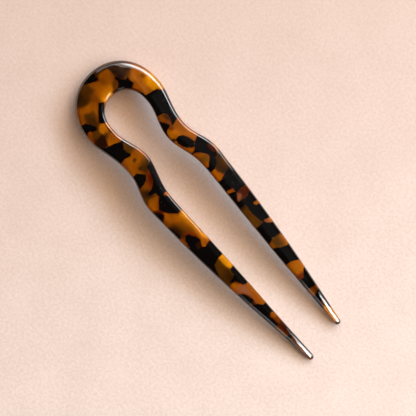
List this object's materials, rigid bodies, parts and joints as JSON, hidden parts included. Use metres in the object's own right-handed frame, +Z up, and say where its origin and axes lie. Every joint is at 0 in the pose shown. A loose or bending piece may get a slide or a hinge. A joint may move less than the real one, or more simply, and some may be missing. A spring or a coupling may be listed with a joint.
{
  "type": "french hair pin",
  "caption": "U-shaped hair pin in tortoiseshell acetate: a broad flat bow, a waist, and legs that taper to round tips, bent to an arch.",
  "frame": {"origin": "under the middle of the pin, on the flat surface it rests on", "axes": "+X along the pin towards the tips of its legs, +Y across it towards the slimmer leg, +Z up from the surface"},
  "size_m": [0.126, 0.0318, 0.01],
  "materials": {
    "tortoiseshell_acetate": "polished tortoiseshell acetate, amber and olive with black and oxblood chips"
  },
  "bodies": {
    "root": {"pin": "tortoiseshell_acetate"}
  },
  "joints": []
}
